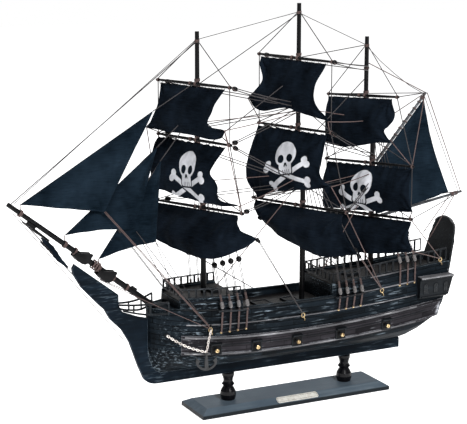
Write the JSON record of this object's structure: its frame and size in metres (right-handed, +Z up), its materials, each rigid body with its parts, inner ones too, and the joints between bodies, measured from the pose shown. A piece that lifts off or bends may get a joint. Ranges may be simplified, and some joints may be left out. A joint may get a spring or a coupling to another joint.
{
  "type": "model sailing ship on stand",
  "caption": "Wooden display model of a three-masted square-rigged sailing ship with dark cloth sails, on a bevelled board with turned pillars; the anchors swing on their chains.",
  "frame": {"origin": "centre of the base board's underside", "axes": "+Z up, +X from the bow to the stern, +Y to starboard"},
  "size_m": [0.6621, 0.2004, 0.531],
  "materials": {
    "board_paint": "satin painted",
    "pillar_gloss": "gloss lacquer",
    "hull_paint": "satin painted, worn at the edges",
    "trim_paint": "satin painted, worn at the edges",
    "spar_paint": "satin painted",
    "sail_cloth": "matte woven",
    "cordage": "matte twisted thread",
    "brass": "satin",
    "steel": "dull plated"
  },
  "bodies": {
    "ship": {"base_board": "board_paint", "nameplate": "brass", "pillar_fore": "pillar_gloss", "pillar_aft": "pillar_gloss", "stand_screw_fore": "steel", "stand_screw_aft": "steel", "keel_and_stem": "hull_paint", "hull": "hull_paint", "forecastle_deck": "hull_paint", "waist_deck": "hull_paint", "quarter_deck": "hull_paint", "transom": "trim_paint", "quarter_gallery_port": "trim_paint", "quarter_gallery_starboard": "trim_paint", "gun_belt_port": "hull_paint", "gun_belt_starboard": "hull_paint", "fore_channel_port": "trim_paint", "fore_channel_starboard": "trim_paint", "main_channel_port": "trim_paint", "main_channel_starboard": "trim_paint", "forecastle_rail": "trim_paint", "quarterdeck_rail": "trim_paint", "head_rail_port": "trim_paint", "head_rail_starboard": "trim_paint", "bowsprit": "spar_paint", "fore_lower_mast": "spar_paint", "fore_topmast": "spar_paint", "fore_topgallant_yard": "spar_paint", "fore_topsail_yard": "spar_paint", "fore_course_yard": "spar_paint", "main_lower_mast": "spar_paint", "main_topmast": "spar_paint", "main_topgallant_yard": "spar_paint", "main_topsail_yard": "spar_paint", "main_course_yard": "spar_paint", "mizzen_lower_mast": "spar_paint", "mizzen_topmast": "spar_paint", "mizzen_topgallant_yard": "spar_paint", "mizzen_topsail_yard": "spar_paint", "mizzen_course_yard": "spar_paint", "gaff": "spar_paint", "boom": "spar_paint", "fore_topgallant_sail": "sail_cloth", "fore_topsail_sail": "sail_cloth", "fore_course_sail": "sail_cloth", "main_topgallant_sail": "sail_cloth", "main_topsail_sail": "sail_cloth", "main_course_sail": "sail_cloth", "mizzen_topgallant_sail": "sail_cloth", "mizzen_topsail_sail": "sail_cloth", "mizzen_course_sail": "sail_cloth", "outer_jib": "sail_cloth", "middle_jib": "sail_cloth", "inner_jib": "sail_cloth", "spanker": "sail_cloth", "masthead_stay": "cordage"},
    "port_ground_tackle": {"anchor_port": "steel", "anchor_chain_port": "steel"},
    "starboard_ground_tackle": {"anchor_starboard": "steel", "anchor_chain_starboard": "steel"}
  },
  "joints": [
    {"name": "port_anchor_swing", "type": "hinge", "parent": "ship", "child": "port_ground_tackle", "pos_m": [-0.16185, -0.03672, 0.121], "axis": [-0.9311, 0.3487, -0.1068], "range_deg": [0, 60]},
    {"name": "starboard_anchor_swing", "type": "hinge", "parent": "ship", "child": "starboard_ground_tackle", "pos_m": [-0.16185, 0.03672, 0.121], "axis": [0.9311, 0.3487, 0.1068], "range_deg": [0, 60]}
  ]
}
